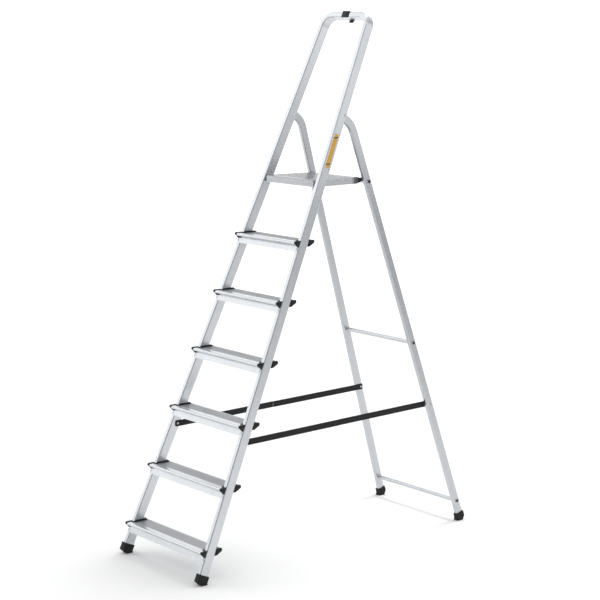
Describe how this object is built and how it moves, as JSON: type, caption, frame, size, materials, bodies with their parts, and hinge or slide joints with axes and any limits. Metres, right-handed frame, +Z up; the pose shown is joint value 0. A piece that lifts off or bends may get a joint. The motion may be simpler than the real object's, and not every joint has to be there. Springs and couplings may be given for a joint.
{
  "type": "step ladder",
  "caption": "Folding A-frame step ladder with ribbed treads, a tilting platform, a guard hoop with a bucket hook, webbing spreader straps and moulded feet.",
  "frame": {"origin": "on the floor, in the middle of the footprint of the opened ladder", "axes": "+X to the climber's right, +Y from the treads towards the rear legs, +Z up"},
  "size_m": [0.5364, 1.3942, 2.1316],
  "materials": {
    "satin_aluminium": "satin extruded aluminium",
    "black_plastic": "moulded black plastic",
    "black_rubber": "moulded black rubber",
    "grey_plastic": "dark grey moulded plastic",
    "webbing": "woven black webbing",
    "rivet_metal": "satin rivets",
    "label_plate": "plain printed plate"
  },
  "bodies": {
    "front_frame": {"bucket_hook": "black_plastic", "front_foot_left": "black_rubber", "front_foot_right": "black_rubber", "front_frame_tube": "satin_aluminium", "pivot_pins": "rivet_metal", "platform_hinge_pins": "rivet_metal", "side_label": "label_plate", "strap_rivets_front": "rivet_metal", "tread_1": "satin_aluminium", "tread_1_cap_left": "black_plastic", "tread_1_cap_right": "black_plastic", "tread_2": "satin_aluminium", "tread_2_cap_left": "black_plastic", "tread_2_cap_right": "black_plastic", "tread_3": "satin_aluminium", "tread_3_cap_left": "black_plastic", "tread_3_cap_right": "black_plastic", "tread_4": "satin_aluminium", "tread_4_cap_left": "black_plastic", "tread_4_cap_right": "black_plastic", "tread_5": "satin_aluminium", "tread_5_cap_left": "black_plastic", "tread_5_cap_right": "black_plastic", "tread_6": "satin_aluminium", "tread_6_cap_left": "black_plastic", "tread_6_cap_right": "black_plastic", "tread_rivets": "rivet_metal"},
    "platform": {"hinge_bracket_left": "grey_plastic", "hinge_bracket_right": "grey_plastic", "platform_deck": "satin_aluminium", "platform_rivets": "rivet_metal", "platform_side_left": "satin_aluminium", "platform_side_right": "satin_aluminium", "rod_claw_left": "grey_plastic", "rod_claw_right": "grey_plastic"},
    "rear_frame": {"lower_brace": "satin_aluminium", "platform_rod": "satin_aluminium", "rear_foot_left": "black_rubber", "rear_foot_right": "black_rubber", "rear_leg_left": "satin_aluminium", "rear_leg_right": "satin_aluminium", "strap_rivets_rear": "rivet_metal", "upper_brace": "satin_aluminium"},
    "front_strap_left": {"strap_front_left": "webbing"},
    "front_strap_right": {"strap_front_right": "webbing"},
    "rear_strap_left": {"strap_rear_left": "webbing"},
    "rear_strap_right": {"strap_rear_right": "webbing"}
  },
  "joints": [
    {"name": "rear_frame_fold", "type": "hinge", "parent": "front_frame", "child": "rear_frame", "pos_m": [0, 0.10532, 1.726], "axis": [-1, 0, 0], "range_deg": [0, 39]},
    {"name": "platform_tilt", "type": "hinge", "parent": "front_frame", "child": "platform", "pos_m": [0, -0.03067, 1.46599], "axis": [1, 0, 0], "range_deg": [0, 66]},
    {"name": "front_strap_right_turn", "type": "hinge", "parent": "front_frame", "child": "front_strap_right", "pos_m": [0, -0.44783, 0.50299], "axis": [-1, 0, 0], "range_deg": [0, 72]},
    {"name": "rear_strap_right_turn", "type": "hinge", "parent": "rear_frame", "child": "rear_strap_right", "pos_m": [0, 0.52015, 0.522], "axis": [1, 0, 0], "range_deg": [0, 134]},
    {"name": "front_strap_left_turn", "type": "hinge", "parent": "front_frame", "child": "front_strap_left", "pos_m": [0, -0.44783, 0.50299], "axis": [-1, 0, 0], "range_deg": [0, 72]},
    {"name": "rear_strap_left_turn", "type": "hinge", "parent": "rear_frame", "child": "rear_strap_left", "pos_m": [0, 0.52015, 0.522], "axis": [1, 0, 0], "range_deg": [0, 134]}
  ],
  "couplings": [
    {"joint": "platform_tilt", "follows": "rear_frame_fold", "ratio": 1.6923},
    {"joint": "front_strap_right_turn", "follows": "rear_frame_fold", "ratio": 1.8308},
    {"joint": "rear_strap_right_turn", "follows": "rear_frame_fold", "ratio": 3.4173},
    {"joint": "front_strap_left_turn", "follows": "rear_frame_fold", "ratio": 1.8308},
    {"joint": "rear_strap_left_turn", "follows": "rear_frame_fold", "ratio": 3.4173}
  ]
}
